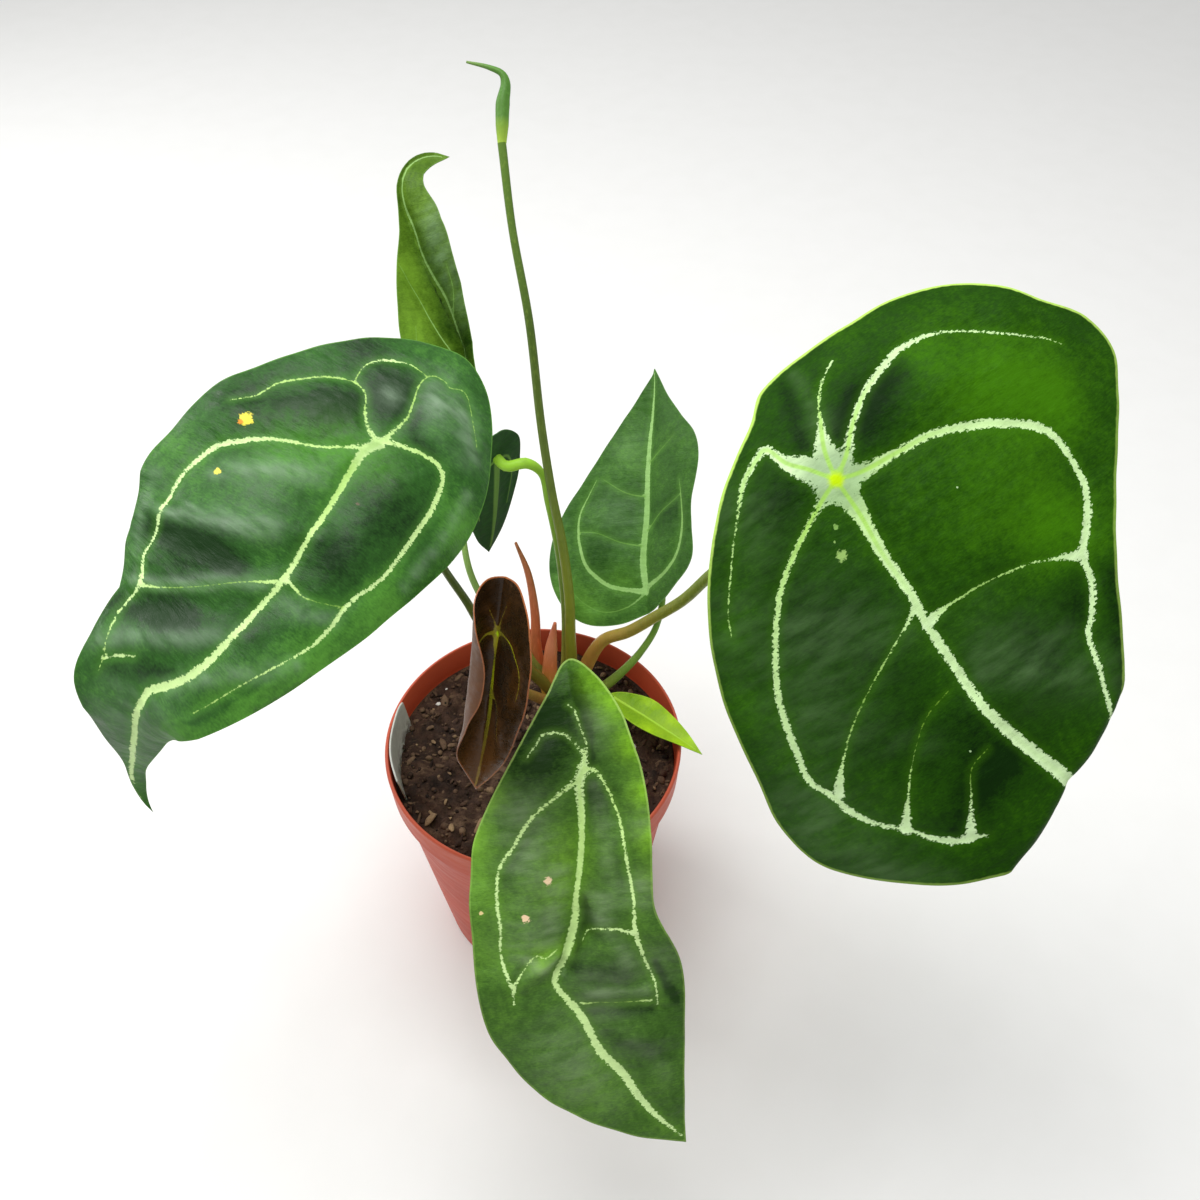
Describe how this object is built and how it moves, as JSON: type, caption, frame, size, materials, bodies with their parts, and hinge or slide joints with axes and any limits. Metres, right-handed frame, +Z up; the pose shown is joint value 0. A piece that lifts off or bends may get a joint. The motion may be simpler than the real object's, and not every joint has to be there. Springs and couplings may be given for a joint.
{
  "type": "potted anthurium forgetii",
  "caption": "Tropical house plant with rounded, silver-veined shield leaves on long thin stalks and a slim flower bud, rooted in potting mix in a tapered terracotta-coloured plastic pot.",
  "frame": {"origin": "centre of the flat underside of the pot", "axes": "+Z up along the pot's axis, +X to the right and -Y towards the viewer of the picture"},
  "size_m": [0.2718, 0.2917, 0.3522],
  "materials": {
    "pot": "smooth injection-moulded plastic",
    "potting_mix": "loose bark and peat",
    "label": "smooth blank plastic",
    "crown": "dull fibrous",
    "stalk": "satin",
    "sheath": "thin and satin",
    "leaf": "velvety with pale veins",
    "leaf_dark": "velvety with silver veins",
    "leaf_young": "glossy bronze",
    "leaf_pale": "satin with pale veins",
    "leaf_lime": "satin",
    "flower": "satin"
  },
  "bodies": {
    "root": {"pot": "pot", "soil": "potting_mix", "label": "label", "crown": "crown", "flower_stalk": "stalk", "leaf_left_stalk": "stalk", "leaf_right_stalk": "stalk", "leaf_front_stalk": "stalk", "leaf_young_stalk": "stalk", "leaf_back_stalk": "stalk", "leaf_upright_stalk": "stalk", "leaf_small_stalk": "stalk", "leaf_lime_stalk": "stalk", "sheath_short": "sheath", "sheath_long": "sheath", "leaf_left_blade": "leaf", "leaf_right_blade": "leaf_dark", "leaf_front_blade": "leaf", "leaf_young_blade": "leaf_young", "leaf_back_blade": "leaf_pale", "leaf_upright_blade": "leaf_pale", "leaf_small_blade": "leaf", "leaf_lime_blade": "leaf_lime", "flower_bud": "flower"}
  },
  "joints": []
}
